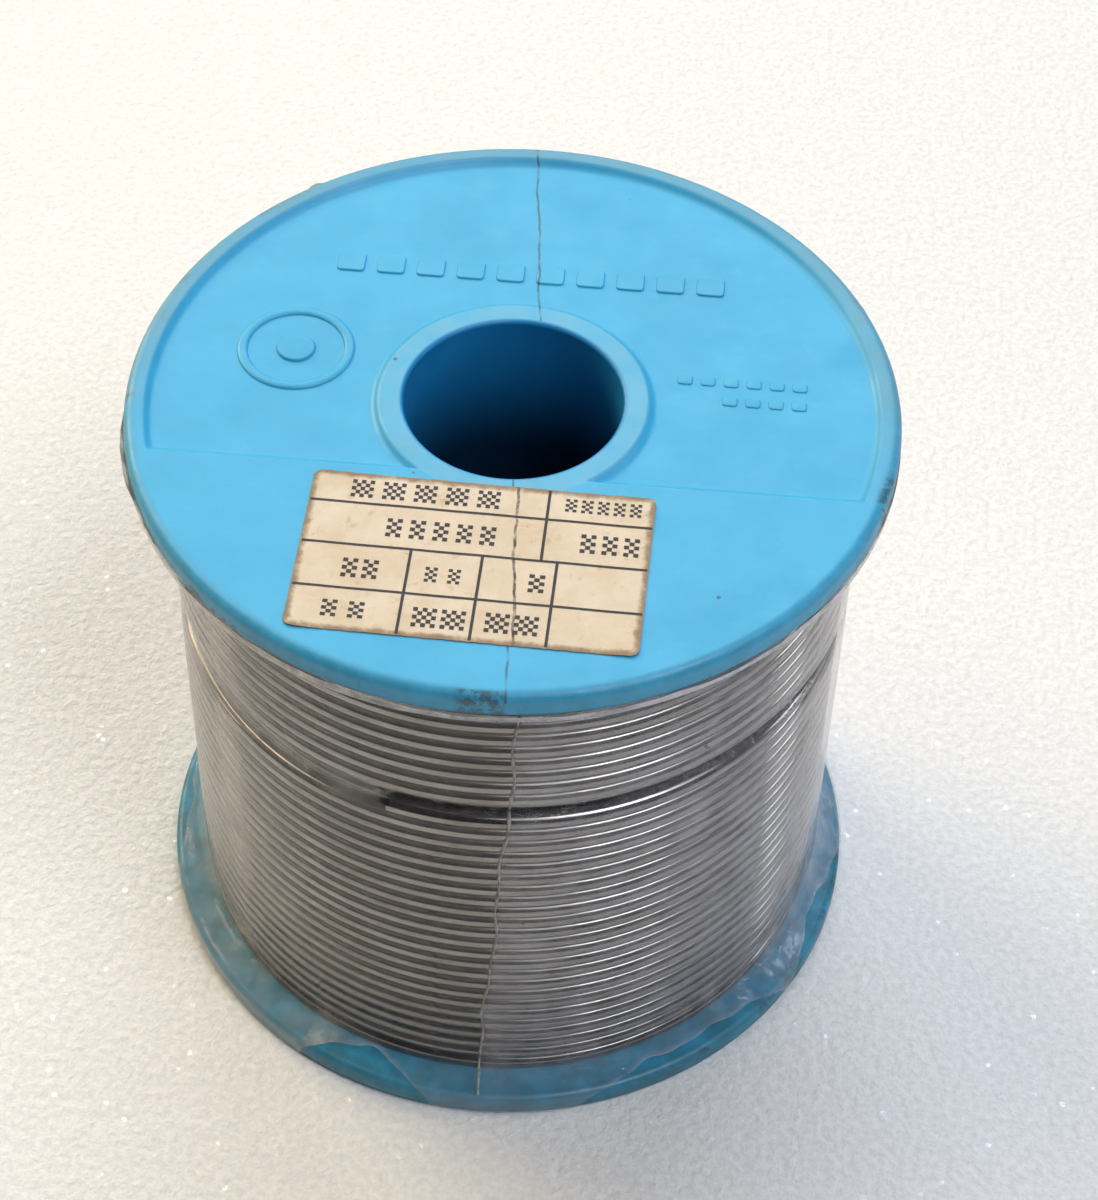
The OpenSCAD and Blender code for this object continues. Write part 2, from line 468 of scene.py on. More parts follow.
def make_ink():
    g = Graph("label_ink")
    worn = g.noise(0.45, 5, 0.7)
    color = g.mix(g.ramp(worn, 0.6, 0.78), (0.022, 0.02, 0.02), (0.22, 0.17, 0.11))
    return g.finish(g.principled(color, g.ramp(worn, 0.3, 0.7, 0.5, 0.7), g.bump(worn, 0.02, 0.3)))


def make_film():
    """Clear film: gloss over see-through, made hazy by the haze attribute and brown by the grime one, which
    holds both real dirt and painted shade.
    """
    g = Graph("clear_film")
    haze = g.attribute("haze")
    grime = g.attribute("grime")
    cloud = g.noise(2.6, 6, 0.65)
    fine = g.noise(0.45, 5, 0.7)
    creased = g.math("ABSOLUTE", g.math("SUBTRACT", g.noise(3.2, 3, 0.5, stretch=(1, 1, 2.2)), 0.5))
    crease = g.ramp(creased, 0.0, 0.035, 1.0, 0.0)
    veil = g.times(haze, g.ramp(cloud, 0.25, 0.75, 0.45, 1.3))
    veil = g.math("ADD", veil, g.times(crease, haze, 0.14))
    # flecks of dust and rust caught on the film
    flecks = g.ramp(g.spots(3.6), 0.04, 0.075, 1.0, 0.0)
    flecks = g.times(flecks, g.ramp(g.noise(9.0, 3), 0.54, 0.62))
    smear = g.times(g.ramp(g.noise(4.0, 7, 0.75), 0.62, 0.72), 0.35)
    brown = g.math("MULTIPLY", grime, g.ramp(fine, 0.42, 0.62, 0.25, 1.0), clamp=True)
    brown = g.math("MAXIMUM", g.math("MAXIMUM", brown, flecks), g.times(smear, haze))
    # painted light: the veil is tinted warm tan on the left, where the warm lamps fall, and cool grey on the
    # right
    across, _, _ = g.xyz()
    tan = g.mix(g.ramp(cloud, 0.3, 0.7), (0.56, 0.49, 0.38), (0.68, 0.62, 0.51))
    grey = g.mix(g.ramp(cloud, 0.3, 0.7), (0.48, 0.48, 0.54), (0.60, 0.60, 0.66))
    color = g.mix(g.ramp(across, -24 * MM, 6 * MM), tan, grey)
    color = g.mix(brown, color, (0.075, 0.05, 0.03))
    body = g.math("MINIMUM", g.math("MAXIMUM", veil, g.times(brown, 0.9)), 0.94)
    wave = g.math("MULTIPLY_ADD", cloud, 0.7, g.times(crease, 0.25))
    normal = g.bump(wave, 0.15, 0.5)
    clear = g.new("ShaderNodeBsdfTransparent")
    dusty = g.principled(color, g.ramp(fine, 0.3, 0.7, 0.28, 0.5), normal)
    veiled = g.new("ShaderNodeMixShader")
    g.put(veiled.inputs[0], body)
    g.put(veiled.inputs[1], clear.outputs[0])
    g.put(veiled.inputs[2], dusty)
    # the gloss is only on the outside, because a ray leaving through a single sheet would be trapped
    fresnel = g.new("ShaderNodeFresnel")
    fresnel.inputs["IOR"].default_value = 1.42
    g.put(fresnel.inputs["Normal"], normal)
    outside = g.math("SUBTRACT", 1.0, g.new("ShaderNodeNewGeometry").outputs["Backfacing"])
    gloss = g.new("ShaderNodeBsdfGlossy")
    gloss.inputs["Roughness"].default_value = 0.13
    g.put(gloss.inputs["Normal"], normal)
    mixer = g.new("ShaderNodeMixShader")
    g.put(mixer.inputs[0], g.times(fresnel.outputs[0], outside))
    g.put(mixer.inputs[1], veiled.outputs[0])
    g.put(mixer.inputs[2], gloss.outputs[0])
    return g.finish(mixer.outputs[0])


def make_seam():
    g = Graph("film_seam")
    tone = g.noise(0.8, 5, 0.7)
    color = g.mix(g.ramp(tone, 0.35, 0.7), (0.46, 0.45, 0.40), (0.22, 0.20, 0.16))
    return g.finish(g.principled(color, g.ramp(tone, 0.3, 0.7, 0.25, 0.5), g.bump(tone, 0.1, 0.5),
                                 Alpha=g.ramp(tone, 0.3, 0.7, 0.9, 0.55)))


def make_floor():
    """A pale, fine-celled foam sheet."""
    g = Graph("floor")
    tone = g.noise(160.0, 3)
    grain = g.noise(0.75, 4, 0.65)
    cell = g.spots(1.1)
    color = g.mix(tone, (0.86, 0.85, 0.825), (0.81, 0.815, 0.80))
    color = g.mix(g.ramp(grain, 0.35, 0.65, 0.32, 0.0), color, (0.52, 0.52, 0.50))
    # painted glints: scattered grains are painted near white, as well as made glossy and a little metallic
    glint = g.ramp(g.spots(3.0), 0.07, 0.12, 1.0, 0.0)
    color = g.mix(g.times(glint, 0.85), color, (0.97, 0.97, 0.97))
    height = g.math("MULTIPLY_ADD", cell, -0.5, grain)
    rough = g.times(g.ramp(grain, 0.3, 0.7, 0.5, 0.75), g.ramp(glint, 0.0, 1.0, 1.0, 0.25))
    shader = g.principled(color, rough, g.bump(height, 0.35, 0.7), Metallic=g.times(glint, 0.25))
    return g.finish(shader)


PLASTIC = make_plastic((0.050, 0.405, 0.665), (0.040, 0.365, 0.610), 0.52)
SOLDER = make_solder((0.33, 0.315, 0.30), (0.215, 0.20, 0.175))
FLUX = make_flux()
PAPER = make_paper()
INK = make_ink()
FILM = make_film()
SEAM = make_seam()


# ---------------------------------------------------------------- spool mouldings

def recess_outline(grow):
    """Corner-exact outline of the C-shaped recess, grown outwards by a distance."""
    points = 72
    outer, inner = RECESS_R + grow, HUB_R - grow
    step = -RECESS_STEP - grow
    x_out, x_in = math.sqrt(outer ** 2 - step ** 2), math.sqrt(inner ** 2 - step ** 2)
    a_out, a_in = math.atan2(step, x_out), math.atan2(step, x_in)
    rim = [(outer * math.cos(a), outer * math.sin(a))
           for a in np.linspace(a_out, math.pi - a_out, 3 * points)]
    left = [(x, step) for x in np.linspace(-x_out, -x_in, points // 3)[1:-1]]
    boss = [(inner * math.cos(a), inner * math.sin(a))
            for a in np.linspace(math.pi - a_in, a_in, 2 * points)]
    right = [(x, step) for x in np.linspace(x_in, x_out, points // 3)[1:-1]]
    return rim + left + boss + right


def inside(point, outline):
    """Whether a point is within a closed outline."""
    x, y = point
    hit = False
    for (x0, y0), (x1, y1) in zip(outline, outline[1:] + outline[:1]):
        if (y0 > y) != (y1 > y) and x < (x1 - x0) * (y - y0) / (y1 - y0) + x0:
            hit = not hit
    return hit


def fill(loops, keep):
    """Flat triangles between closed loops, kept where keep(x, y) is true."""
    points, edges = [], []
    for loop in loops:
        base = len(points)
        points += [Vector(p) for p in loop]
        edges += [(base + i, base + (i + 1) % len(loop)) for i in range(len(loop))]
    verts, _, faces, *_ = delaunay_2d_cdt(points, edges, [], 0, 1e-7)
    kept = [f for f in faces if keep(*(sum((verts[i] for i in f), Vector((0, 0))) / len(f)))]
    return [(v.x, v.y) for v in verts], kept


# How the recess's edge falls: distance outside its outline, and depth below the face
STEP_SECTION = [(0.36, 0), (0.22, 0.025), (0.10, 0.09), (-0.02, 0.20), (-0.14, 0.33),
                (-0.26, 0.44), (-0.40, 0.53), (-0.56, 0.585), (-0.75, RECESS_DEPTH)]


def outer_face(shell):
    """The flange's outer face at depth 0, with its recess, from the bore's mouth to the rim."""
    a = np.arange(AROUND) * TAU / AROUND
    rim_r, mouth_r = FLANGE_R - EDGE_ROUND, BORE_R + MOUTH_ROUND
    rim = [(rim_r * math.cos(t), rim_r * math.sin(t)) for t in a]
    mouth = [(mouth_r * math.cos(t), mouth_r * math.sin(t)) for t in a]
    rings = [recess_outline(grow) for grow, _ in STEP_SECTION]

    def on_land(x, y):
        r = math.hypot(x, y)
        return mouth_r < r < rim_r and not inside((x, y), rings[0])

    verts, faces = fill([rim, mouth, rings[0]], on_land)
    shell.add([(x, y, 0) for x, y in verts], faces)
    verts, faces = fill([rings[-1]], lambda x, y: inside((x, y), rings[-1]))
    shell.add([(x, y, RECESS_DEPTH) for x, y in verts], faces)
    verts = [(x, y, depth) for ring, (_, depth) in zip(rings, STEP_SECTION) for x, y in ring]
    shell.add(verts, ring_faces(len(rings), len(rings[0])))


def flange_profile():
    """(r, depth) from the edge of the outer face, round the rim and in to the hub."""
    r = EDGE_ROUND
    points = arc((FLANGE_R - r, r), r, -90, 0, 10)
    points += arc((FLANGE_R - INNER_ROUND, FLANGE_T - INNER_ROUND), INNER_ROUND, 0, 90, 8)
    points += [(FLANGE_R - 4, FLANGE_T), (HUB_R + 3, FLANGE_T)]
    points += arc((HUB_R + HUB_FILLET, FLANGE_T + HUB_FILLET), HUB_FILLET, -90, -180, 2)
    return points


def mouth_profile():
    """(r, depth) from the bore's wall out to the outer face."""
    r = MOUTH_ROUND
    return arc((BORE_R + r, r), r, 180, 270, 6)


def moulding(name, hub_profile, to_height, node, extras=None):
    """One half of the spool as a closed shell. to_height turns depth into Z."""
    shell = Shell()
    outer_face(shell)
    profile = flange_profile() + hub_profile + mouth_profile()
    shell.add(*revolve(profile, AROUND))
    verts, faces = shell.welded()
    verts[:, 2] = to_height(verts[:, 2])
    solid = Shell()
    solid.add(verts, faces)
    if extras:
        solid.add(*extras)
    piece = add_mesh(name, solid.verts, solid.faces, PLASTIC, [node], sharp=50)
    recalculate(piece)
    weighted = piece.modifiers.new("weighted_normals", "WEIGHTED_NORMAL")
    weighted.keep_sharp = True


def recalculate(piece):
    """Makes every closed part's faces look outwards."""
    bm = bmesh.new()
    bm.from_mesh(piece.data)
    bmesh.ops.recalc_face_normals(bm, faces=bm.faces)
    bm.to_mesh(piece.data)
    bm.free()


# The plain marks moulded on the recess's floor: a ring with a dot, and rows of pads. A row is its
# middle, how many pads, their spacing, length, width, height and corner radius
FOOT = 0.1
EMBLEM_AT = (-19.6, 4.7, 0)
EMBLEM_R = 4.7
EMBLEM_HALF_W = 0.5
EMBLEM_H = 0.26
DOT_R = 1.8
DOT_ROUND = 0.2
PAD_ROWS = (
    ((0.0, 16.3), 10, 3.6, 2.5, 2.3, 0.18, 0.4),
    ((19.6, 4.3), 6, 2.0, 1.3, 1.1, 0.12, 0.3),
    ((21.6, 2.0), 4, 2.0, 1.3, 1.1, 0.12, 0.3),
)


def relief_marks():
    """The plain marks as closed parts, each with its foot a little under the recess's floor."""
    shell = Shell()
    floor_z = SPOOL_H - RECESS_DEPTH
    foot_z, top_z = floor_z - FOOT, floor_z + EMBLEM_H
    section = [(EMBLEM_R + EMBLEM_HALF_W * math.cos(t), foot_z + (EMBLEM_H + FOOT) * math.sin(t) ** 0.7)
               for t in np.linspace(0, math.pi, 9)]
    dot = [(0.001, top_z)] + arc((DOT_R - 0.3, top_z - DOT_ROUND), DOT_ROUND, 90, 0, 4)
    dot += [(DOT_R, foot_z), (0.001, foot_z)]
    for profile, count in ((section, 72), (dot, 36)):
        verts, faces = revolve(profile, count, closed=True)
        shell.add(verts + EMBLEM_AT, faces)
    for (x, y), count, spacing, length, width, height, corner in PAD_ROWS:
        for i in range(count):
            pad_x = x + (i - (count - 1) / 2) * spacing
            shell.add(*pad(pad_x, y, floor_z, length, width, height, corner))
    return shell.verts, shell.faces


def pad(x, y, z, length, width, height, corner):
    """A low oblong pad with rounded corners and a rolled top edge."""
    levels = [(0, -FOOT), (0, height * 0.45), (-0.05, height * 0.85), (-0.13, height)]
    rings = []
    for grow, level in levels:
        r = corner + grow
        a, b = length / 2 - corner, width / 2 - corner
        outline = []
        for cx, cy, turn in ((a, -b, -90), (a, b, 0), (-a, b, 90), (-a, -b, 180)):
            outline += arc((cx, cy), r, turn, turn + 90, 4)
        rings.append([(x + px, y + py, z + level) for px, py in outline])
    n = len(rings[0])
    verts = [p for ring in rings for p in ring]
    faces = ring_faces(len(rings), n)
    faces.append(tuple(range((len(rings) - 1) * n, len(rings) * n)))
    faces.append(tuple(reversed(range(n))))
    return verts, faces


def build_mouldings():
    joint, socket_r = SPOOL_H / 2, (BORE_R + HUB_R) / 2
    spigot_r, spigot_end, socket_end = socket_r - SLIP, joint + SPIGOT_L - 2 * SLIP, joint - SPIGOT_L
    upper_hub = [(HUB_R, joint), (spigot_r, joint), (spigot_r, spigot_end), (BORE_R, spigot_end)]
    lower_hub = [(HUB_R, joint), (socket_r, joint), (socket_r, socket_end), (BORE_R, socket_end)]
    moulding("spool_top", upper_hub, lambda w: SPOOL_H - w, "upper_spool_half", relief_marks())
    moulding("spool_bottom", lower_hub, lambda w: w, "lower_spool_half")


# ---------------------------------------------------------------- wound wire

PER_TURN = 168
LAST_TURN = 0.999
JOG_AT = math.radians(92)
JOG_HALF = math.radians(20)
JOG_RISE = 0.16
TAIL_END = math.radians(-105.3)
TAIL_SCAR = math.radians(-107.2)


def jog(angle):
    """How many turns up a clockwise winding has climbed, stepping up once a turn at the back."""
    turns = angle / TAU
    whole = np.floor(turns)
    part = (turns - whole) * TAU
    return whole + smoothstep(math.pi - JOG_HALF, math.pi + JOG_HALF, part)


def jog_rise(gap):
    """How far a wire stands off where it steps over the turn below, at an angle from the step's middle."""
    return JOG_RISE * np.exp(-(gap / (0.7 * JOG_HALF)) ** 2)


def ring_path(angle, z, r):
    """Points at given angles round the bore's axis, heights and radii."""
    return np.stack([r * np.cos(angle), r * np.sin(angle), z], -1)


def outward(angle):
    """Unit vectors away from the bore's axis."""
    return np.stack([np.cos(angle), np.sin(angle), np.zeros_like(angle)], -1)


def lay_wire(first_z, turns, r, seed, clockwise=True):
    """Path of a close winding that starts and ends in the middle of its step at the back."""
    s = np.linspace(math.pi, math.pi + turns * TAU, int(turns * PER_TURN) + 1)
    turn_number = np.floor(s / TAU + 0.5)
    sway = ripple(s / 7.3, seed) * 0.5 + ripple(s * 0.61803, seed + 1) * 0.5
    angle = JOG_AT + math.pi - s if clockwise else JOG_AT - math.pi + s
    z = first_z + PITCH * (jog(s) - 1) + 0.02 * sway
    r = r + jog_rise(s % TAU - math.pi) + 0.035 * ripple(s * 0.37 + turn_number, seed + 2)
    return angle, z, r


def wire(name, angle, z, r, nodes, sides=14, seed=1, hole=0.0, radius=WIRE_R - 0.005, material=None):
    """A length of wire, or of its core, as one piece."""
    path = ring_path(angle, z, r)
    swell = radius * (1 + 0.008 * ripple(angle * 5.3, seed + 5))
    verts, faces = tube(path, outward(angle), swell, sides, hole)
    return add_mesh(name, verts, faces, material or SOLDER, nodes, sharp=60)


def turns_in(node):
    """The height of a layer's first turn, and how many turns it has."""
    low, high = span(node)
    return low[2] + WIRE_R, round((high[2] - low[2] - WIRE_D) / PITCH) + LAST_TURN


def build_winding():
    # the outermost layer, below and above the groove; each part starts sunk in the layer below it
    for part, seed, sunk, sunk_turns in (("lower", 11, 1.2, 0.06), ("upper", 23, 1.5, 0.10)):
        node = "winding_layer_outer_" + part
        angle, z, r = lay_wire(*turns_in(node), LAYER_R, seed)
        r = r - sunk * smoothstep(sunk_turns, 0.0, np.arange(len(angle)) / PER_TURN)
        wire("wound_wire_" + part, angle, z, r, [node], seed=seed)
    # the layer below, which the groove lets show
    node = "winding_layer_12"
    path = lay_wire(*turns_in(node), LAYER_12_R, 37, clockwise=False)
    wire("wound_wire_under", *path, [node], sides=10, seed=37)


def build_tail():
    """The wire's outer end: it lies on the top of the lower group, along the groove, and stops."""
    angle = np.linspace(JOG_AT + 0.01, TAIL_END, 200)
    leave = 2 * smoothstep(JOG_AT + JOG_HALF, JOG_AT - JOG_HALF, angle) - 1
    z = TAIL_Z - 0.5 * PITCH * (1 - leave)
    r = LAYER_R + jog_rise(angle - JOG_AT)
    wire("wire_end", angle, z, r, ["wire_tail"], hole=CORE_R, seed=41)
    wire("flux_core_end", angle, z, r, ["flux_core"], sides=8, radius=CORE_R - 0.01, material=FLUX)


# ---------------------------------------------------------------- paper label

LABEL_TURN = math.radians(-1)
LABEL_T = 0.09
LABEL_STAND = 0.03
INK_LIFT = 0.085
RULE_W = 0.25


def label_frame():
    """The label's middle, its two sides and its underside's height, from the box round the turned sheet."""
    low, high = span("paper_label")
    center = Vector(((low[0] + high[0]) / 2, (low[1] + high[1]) / 2, 0))
    w, h = high[0] - low[0], high[1] - low[1]
    c, s = math.cos(LABEL_TURN), abs(math.sin(LABEL_TURN))
    width = (w * c - h * s) / (c * c - s * s)
    height = (h * c - w * s) / (c * c - s * s)
    return center, width, height, low[2]


LABEL_CENTER, LABEL_W, LABEL_H, LABEL_Z = label_frame()


def label_lift(u, v):
    """How far the paper stands off the flange: nearly flat, with tired corners."""
    edge = smoothstep(0.75, 1.0, abs(2 * u / LABEL_W)) * smoothstep(0.6, 1.0, abs(2 * v / LABEL_H))
    return LABEL_STAND + 0.10 * float(edge) + 0.012 * math.sin(0.9 * u + 1.3 * v)


def on_label(u, v, lift):
    """The point at u along the label, v across it and lift above its underside."""
    c, s = math.cos(LABEL_TURN), math.sin(LABEL_TURN)
    return (LABEL_CENTER.x + u * c - v * s, LABEL_CENTER.y + u * s + v * c,
            LABEL_Z + label_lift(u, v) + lift)


def build_label():
    """The paper, with rounded corners and a slightly ragged edge."""
    columns, rows = 120, 74
    u = np.linspace(-0.5, 0.5, columns + 1)
    v = np.linspace(-0.5, 0.5, rows + 1)
    rng = np.random.default_rng(5)
    nibble = [rng.uniform(0, TAU, 6) for _ in range(4)]

    def ragged(side, t):
        return 0.025 * sum(math.sin(k * 5.0 * t + p) for k, p in enumerate(nibble[side], 2)) / 3

    def sheet_point(a, b):
        half_w, half_h = LABEL_W / 2, LABEL_H / 2
        x, y = a * LABEL_W, b * LABEL_H
        # round the corners by pulling the outline in near them
        reach = 0.8
        dx, dy = max(0, abs(x) - half_w + reach), max(0, abs(y) - half_h + reach)
        over = math.hypot(dx, dy) - reach
        if over > 0 and dx > 0 and dy > 0:
            x -= math.copysign(over * dx / (over + reach), x)
            y -= math.copysign(over * dy / (over + reach), y)
        x += ragged(0 if x > 0 else 1, b * 6) * smoothstep(0.44, 0.5, abs(a))
        y += ragged(2 if y > 0 else 3, a * 6) * smoothstep(0.44, 0.5, abs(b))
        return x, y

    verts, faces, near = [], [], []
    for level in (LABEL_T, 0.0):
        for b in v:
            for a in u:
                x, y = sheet_point(a, b)
                verts.append(on_label(x, y, level - LABEL_STAND))
                gap = min(LABEL_W / 2 - abs(x), LABEL_H / 2 - abs(y))
                near.append(float(1 - smoothstep(0.0, 1.3, gap)))
    n = columns + 1
    top = n * (rows + 1)
    for j in range(rows):
        for i in range(columns):
            a = j * n + i
            faces.append((a, a + 1, a + n + 1, a + n))
            faces.append((top + a, top + a + n, top + a + n + 1, top + a + 1))
    border = list(range(n)) + [j * n + columns for j in range(1, rows + 1)]
    border += [rows * n + i for i in range(columns - 1, -1, -1)] + [j * n for j in range(rows - 1, 0, -1)]
    for a, b in zip(border, border[1:] + border[:1]):
        faces.append((a, top + a, top + b, b))
    piece = add_mesh("label_sheet", verts, faces, PAPER, ["paper_label"], sharp=50)
    layer = piece.data.attributes.new("edge_near", "FLOAT", "POINT")
    layer.data.foreach_set("value", near)


def stroke(shell, points, width):
    """A flat inked line of a given width on the label, through (u, v) points."""
    points = [Vector(p) for p in points]
    fine = []
    for a, b in zip(points, points[1:]):
        steps = max(1, int((b - a).length / 0.5))
        fine += [a.lerp(b, i / steps) for i in range(steps)]
    fine.append(points[-1])
    left, right = [], []
    for i, p in enumerate(fine):
        t = (fine[min(i + 1, len(fine) - 1)] - fine[max(i - 1, 0)]).normalized()
        n = Vector((-t.y, t.x)) * width / 2
        left.append(on_label(p.x + n.x, p.y + n.y, INK_LIFT))
        right.append(on_label(p.x - n.x, p.y - n.y, INK_LIFT))
    count = len(fine)
    shell.add(left + right, [(i, i + count, i + count + 1, i + 1) for i in range(count - 1)])


def block(shell, u, v, w, h):
    """A small plain inked rectangle."""
    columns, rows = max(1, round(w / 0.4)), max(1, round(h / 0.4))
    us, vs = np.linspace(u - w / 2, u + w / 2, columns + 1), np.linspace(v - h / 2, v + h / 2, rows + 1)
    n = columns + 1
    shell.add([on_label(a, b, INK_LIFT) for b in vs for a in us],
              [(j * n + i, j * n + i + 1, (j + 1) * n + i + 1, (j + 1) * n + i)
               for j in range(rows) for i in range(columns)])


def check(shell, u, v, w, h, columns, rows):
    """A chequered patch of small inked squares, which stands where a word or a number would be."""
    for j in range(rows):
        for i in range(columns):
            if (i + j) % 2 == 0:
                block(shell, u + ((i + 0.5) / columns - 0.5) * w, v + ((j + 0.5) / rows - 0.5) * h,
                      w / columns, h / rows)


# The chequered patches, as rows: how many, the first one's middle, their spacing, sizes and squares
PATCHES = (
    (5, (-10.1, 6.95), 2.65, (1.85, 1.95), (5, 5)),
    (5, (7.4, 7.1), 1.35, (0.95, 1.45), (3, 5)),
    (5, (-6.9, 2.85), 1.95, (1.25, 2.05), (3, 5)),
    (3, (9.2, 2.95), 1.8, (1.25, 2.05), (3, 5)),
    (2, (-9.9, -1.95), 1.7, (1.25, 2.05), (3, 5)),
    (2, (-3.2, -1.95), 1.9, (1.0, 1.6), (3, 5)),
    (1, (5.45, -1.9), 0.0, (1.3, 1.95), (3, 5)),
    (2, (-10.9, -6.45), 2.2, (1.25, 1.75), (3, 5)),
    (2, (-3.15, -6.6), 2.35, (1.95, 2.05), (5, 5)),
    (2, (2.75, -6.5), 2.35, (1.95, 2.05), (5, 5)),
)


def build_print():
    """Ruled lines of the table, and plain marks where a real label would be filled in."""
    shell = Shell()
    left, right = -LABEL_W / 2 + 0.15, LABEL_W / 2 - 0.1
    top, bottom = LABEL_H / 2 - 0.1, -LABEL_H / 2 + 0.15
    rows = [5.3, 0.62, -4.18]
    for v in rows:
        stroke(shell, [(left, v), (right, v)], RULE_W)
    stroke(shell, [(5.5, top), (5.55, rows[1])], RULE_W)
    for u in (-5.15, 0.75, 6.9):
        stroke(shell, [(u, rows[1]), (u, bottom)], RULE_W)
    # printed headings and stamped entries become small chequered patches
    for count, (u, v), spacing, size, squares in PATCHES:
        for i in range(count):
            check(shell, u + spacing * i, v, *size, *squares)
    add_mesh("label_print", shell.verts, shell.faces, INK, sharp=30)


# ---------------------------------------------------------------- shrink film

FILM_AROUND = 360
FILM_UP = 258
# Where the groove passes from the right side to the left one at the back, in radians
BACK_FROM = 1.5
BACK_TO = 1.75


def hump(angle, center, half_width):
    """A smooth rise to 1 round a direction given in degrees."""
    gap = (angle - math.radians(center) + math.pi) % TAU - math.pi
    return np.exp(-((gap / math.radians(half_width)) ** 2) * 1.4)


def lens(angle, center, half_width):
    """Like hump(), but with a definite start and end, as a torn opening has."""
    gap = (angle - math.radians(center) + math.pi) % TAU - math.pi
    return np.sqrt(np.clip(1 - (gap / math.radians(half_width)) ** 2, 0, 1))


def film_shape(angle, t):
    """The film's radius and height, with what its haze follows. t runs from its lower to its upper edge."""
    wave = ripple(angle, 61)
    jag = ripple(angle, 63, ((4, 1), (9, 0.8), (17, 0.7), (31, 0.5), (53, 0.4)))
    # openings torn along the lower flange, and scraps left on the upper one
    torn_low = np.maximum.reduce([lens(angle, c, w) for c, w in
                                  ((-176, 17), (-109, 12), (-52, 21), (-14, 16), (62, 14), (118, 18))])
    scrap = hump(angle, -163, 15) + hump(angle, 128, 5) + hump(angle, 28, 7) + hump(angle, 80, 5)
    scrap = np.clip(scrap, 0, 1)
    bottom = 0.55 + 0.3 * jag + (FLANGE_T + 1.1 + 0.25 * jag) * torn_low
    top = SPOOL_H - FLANGE_T + 0.25 + 0.3 * jag + (1.3 + 0.5 * jag) * scrap
    z = bottom + (top - bottom) * t
    rim = FILM_R + 0.05
    lifted = hump(angle, -5, 34)
    snug = WINDING_R + 0.12 + 0.45 * lifted
    turn = TAU * (z - FIRST_Z) / PITCH
    snug = snug - 0.045 * (1 - lifted) * (1 - np.cos(turn)) + 0.05 * ripple(angle * 3, 64) * np.sin(z * 0.35)
    lower_end = FLANGE_T + 4.2 + 1.6 * wave
    upper_start = SPOOL_H - FLANGE_T - 4.6 + 0.9 * wave
    flare_low = smoothstep(0, 1, (lower_end - z) / (lower_end - FLANGE_T + 0.1))
    flare_high = smoothstep(0, 1, (z - upper_start) / (SPOOL_H - FLANGE_T - 0.2 - upper_start))
    flare = np.maximum(flare_low ** 1.6, flare_high ** 1.6)
    r = snug + (rim - snug) * flare
    pleat = ripple(angle, 66, ((23, 1), (37, 0.8), (61, 0.6)))
    r = r + 0.14 * pleat * flare * (1 - flare) * 4
    r = r + (0.25 + 0.35 * np.abs(jag)) * scrap * smoothstep(SPOOL_H - FLANGE_T - 0.5, SPOOL_H - 1, z)
    # the film sinks where a turn is missing: above the tail, and over the whole groove past its end
    right_side = smoothstep(math.radians(-73), math.radians(-50), angle)
    right_side = right_side * smoothstep(BACK_TO, BACK_FROM, angle)
    left_side = smoothstep(math.radians(-104), math.radians(-108), angle)
    left_side = np.clip(left_side + smoothstep(BACK_FROM, BACK_TO, angle), 0, 1)
    groove = TAIL_Z + PITCH * (1 - 0.5 * left_side)
    breadth = 0.75 + 0.65 * left_side
    dent = np.exp(-(((z - groove) / breadth) ** 2))
    trench = dent * (1 - left_side)
    r = r - (1.2 + 0.45 * lifted) * trench - 0.32 * dent * left_side * (1 - 0.6 * lifted)
    return SimpleNamespace(r=r, z=z, bottom=bottom, top=top, scrap=scrap, lifted=lifted,
                           flare_low=flare_low, flare_high=flare_high, left_side=left_side,
                           right_side=right_side, dent=dent, trench=trench)


def film_dirt(angle, film):
    """How hazy and how grimy each point of film_shape() is. The grime also holds painted shade in the groove
    and at the wire's cut end.
    """
    z, scrap, flare_low, flare_high = film.z, film.scrap, film.flare_low, film.flare_high
    left_side, trench = film.left_side, film.trench
    misty = np.clip(hump(angle, -140, 24) + hump(angle, -117, 7) + 0.8 * hump(angle, -88, 11)
                    + 0.35 * hump(angle, 0, 60) + 0.6 * hump(angle, 90, 50), 0, 1)
    left_tan = hump(angle, -152, 40)
    winding_part = 1 - flare_low
    # the film is duller to the right of its seam
    past_seam = smoothstep(-0.012, 0.012, angle - seam_angle(z)) * smoothstep(1.2, 0.6, angle)
    haze = 0.04 + (0.22 * left_tan + 0.19 * past_seam) * winding_part + 0.12 * film.lifted
    haze = haze + flare_low * (0.01 + 0.13 * misty) * (1 - 0.35 * flare_low ** 4)
    haze = haze + 0.4 * hump(angle, -117, 4) * flare_low + 0.32 * scrap * flare_high + 0.06 * flare_high
    # the top wire of the lower group shines through on the left
    top_wire = np.exp(-(((z - TAIL_Z + 0.62 * PITCH) / 0.5) ** 2)) * left_side
    top_wire = top_wire * smoothstep(-2.05, -2.2, angle)
    haze = (haze + 0.16 * film.dent * left_side) * (1 - 0.95 * trench) * (1 - 0.85 * top_wire)
    haze = haze + 0.50 * smoothstep(SPOOL_H - FLANGE_T - 2.8, SPOOL_H - FLANGE_T - 0.7, z)
    # painted shade in the hole that the wire's cut end has worn in it
    end_gap = (angle - TAIL_SCAR) * WINDING_R
    pit = np.exp(-((end_gap / 0.85) ** 2) - ((z - TAIL_Z - PITCH) / 0.42) ** 2)
    edge = np.exp(-(((z - film.bottom) / 0.22) ** 2)) + np.exp(-(((film.top - z) / 0.16) ** 2))
    haze = haze + 0.22 * edge
    grime = 0.05 + 0.35 * scrap * flare_high + 0.12 * edge + 0.15 * left_tan * flare_low
    grime = grime + hump(angle, -47, 1.8) * flare_low ** 3 + 2.5 * pit
    # painted shade: the groove is darkened through the grime, most on the right
    grime = grime + (0.35 + 0.75 * film.right_side) * trench ** 1.5
    return np.clip(haze, 0, 0.9), np.clip(grime, 0, 1.6)


